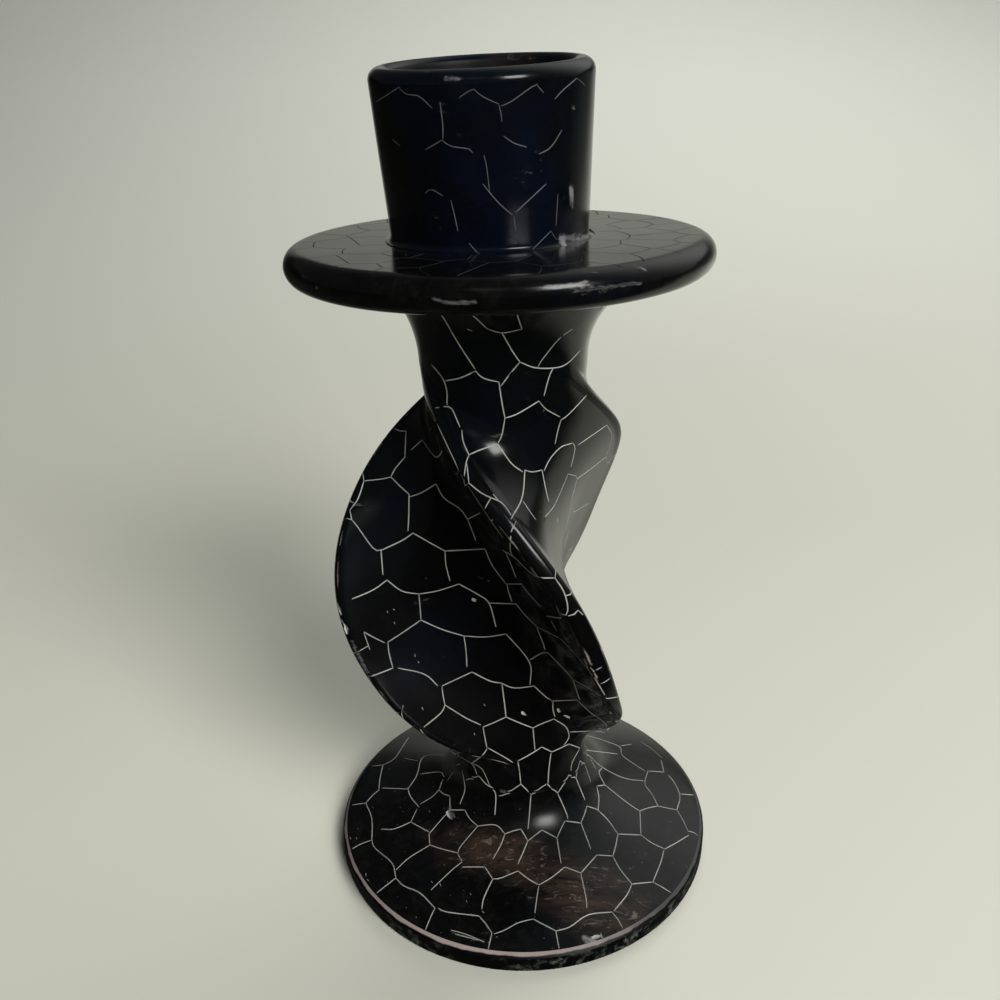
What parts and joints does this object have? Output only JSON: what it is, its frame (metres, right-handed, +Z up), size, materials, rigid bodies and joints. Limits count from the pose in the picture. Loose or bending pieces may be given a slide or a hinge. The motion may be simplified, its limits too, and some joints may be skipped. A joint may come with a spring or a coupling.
{
  "type": "taper candle holder",
  "caption": "Carved dark stone taper candle holder with a round domed foot, a stem of twisted fins, a round drip pan and a cup with a tapered candle socket.",
  "frame": {"origin": "centre of the foot's flat underside, which rests on z = 0", "axes": "+Z up through the stem to the candle cup, -Y towards the picture's viewer, +X to the viewer's right"},
  "size_m": [0.0768, 0.0768, 0.1512],
  "materials": {
    "foot_stone": "black-dyed soapstone, waxed and polished, with incised pale lines and a brown vein",
    "stem_stone": "black-dyed soapstone, waxed and polished, with incised pale lines",
    "pan_stone": "black-dyed soapstone, waxed and polished, with thin incised lines",
    "cup_stone": "blue-black dyed soapstone, glossy, with thin incised lines",
    "pin_steel": "plain steel rod"
  },
  "bodies": {
    "root": {"foot": "foot_stone", "twisted_stem": "stem_stone", "drip_pan": "pan_stone", "candle_cup": "cup_stone", "lower_pin": "pin_steel", "upper_pin": "pin_steel"}
  },
  "joints": []
}
